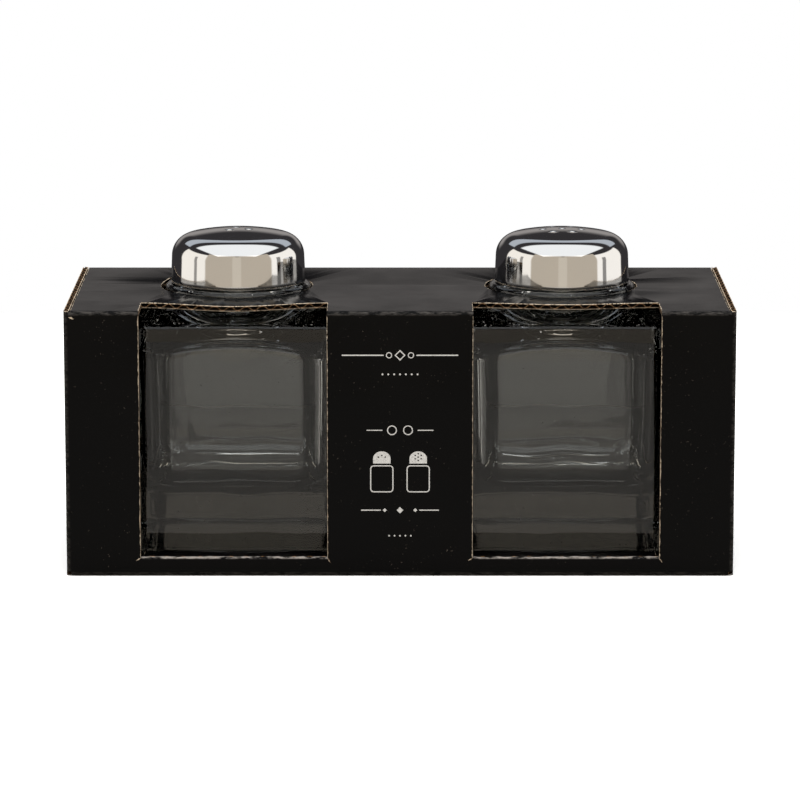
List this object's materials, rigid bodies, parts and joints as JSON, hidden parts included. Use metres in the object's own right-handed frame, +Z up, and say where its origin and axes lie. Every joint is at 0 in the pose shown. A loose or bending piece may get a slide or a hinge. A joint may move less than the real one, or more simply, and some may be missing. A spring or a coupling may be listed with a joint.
{
  "type": "salt and pepper shaker set",
  "caption": "Square glass salt and pepper shakers with domed screw caps, each with a threaded insert and seal, held in a black corrugated display carton that folds open.",
  "frame": {"origin": "centre of the carton's base, on the surface that it stands on", "axes": "+Z up, -Y out of the windowed front, +X to the right seen from the front (the pepper side)"},
  "size_m": [0.184, 0.078, 0.0902],
  "materials": {
    "printed_board": "black satin print on brown single-wall corrugated board",
    "clear_glass": "clear pressed glass with a faint grey-green tint",
    "cap_chrome": "mirror polished",
    "insert_plastic": "natural white moulded polypropylene",
    "seal_rubber": "soft translucent silicone"
  },
  "bodies": {
    "carton": {"front_panel": "printed_board", "bottom_panel": "printed_board", "rear_flap": "printed_board", "left_end_panel": "printed_board", "right_end_panel": "printed_board", "left_end_tab": "printed_board", "right_end_tab": "printed_board", "left_window_flap": "printed_board", "right_window_flap": "printed_board"},
    "carton_lid": {"top_panel": "printed_board"},
    "carton_back": {"back_panel": "printed_board"},
    "left_shaker": {"left_jar": "clear_glass"},
    "left_seal": {"left_seal_ring": "seal_rubber"},
    "left_cap": {"left_cap_insert": "insert_plastic", "left_cap_shell": "cap_chrome"},
    "right_shaker": {"right_jar": "clear_glass"},
    "right_seal": {"right_seal_ring": "seal_rubber"},
    "right_cap": {"right_cap_insert": "insert_plastic", "right_cap_shell": "cap_chrome"}
  },
  "joints": [
    {"name": "lid_fold", "type": "hinge", "parent": "carton", "child": "carton_lid", "pos_m": [0, -0.03825, 0.07325], "axis": [1, 0, 0], "range_deg": [0, 120]},
    {"name": "back_fold", "type": "hinge", "parent": "carton_lid", "child": "carton_back", "pos_m": [0, 0.03825, 0.07325], "axis": [1, 0, 0], "range_deg": [0, 170]},
    {"name": "left_shaker_lift", "type": "slide", "parent": "carton", "child": "left_shaker", "axis": [0, 0, 1], "range_m": [0, 0.0018]},
    {"name": "left_cap_rise", "type": "slide", "parent": "left_shaker", "child": "left_seal", "axis": [0, 0, 1], "range_m": [0, 0.012]},
    {"name": "left_cap_turn", "type": "hinge", "parent": "left_seal", "child": "left_cap", "pos_m": [-0.04575, 0.0062, 0.075], "axis": [0, 0, 1], "range_deg": [0, 1080]},
    {"name": "right_shaker_lift", "type": "slide", "parent": "carton", "child": "right_shaker", "axis": [0, 0, 1], "range_m": [0, 0.0018]},
    {"name": "right_cap_rise", "type": "slide", "parent": "right_shaker", "child": "right_seal", "axis": [0, 0, 1], "range_m": [0, 0.012]},
    {"name": "right_cap_turn", "type": "hinge", "parent": "right_seal", "child": "right_cap", "pos_m": [0.04575, 0.0062, 0.075], "axis": [0, 0, 1], "range_deg": [0, 1080]}
  ],
  "couplings": [
    {"joint": "left_cap_rise", "follows": "left_cap_turn", "m_per_rad": 0.00063662},
    {"joint": "right_cap_rise", "follows": "right_cap_turn", "m_per_rad": 0.00063662}
  ]
}
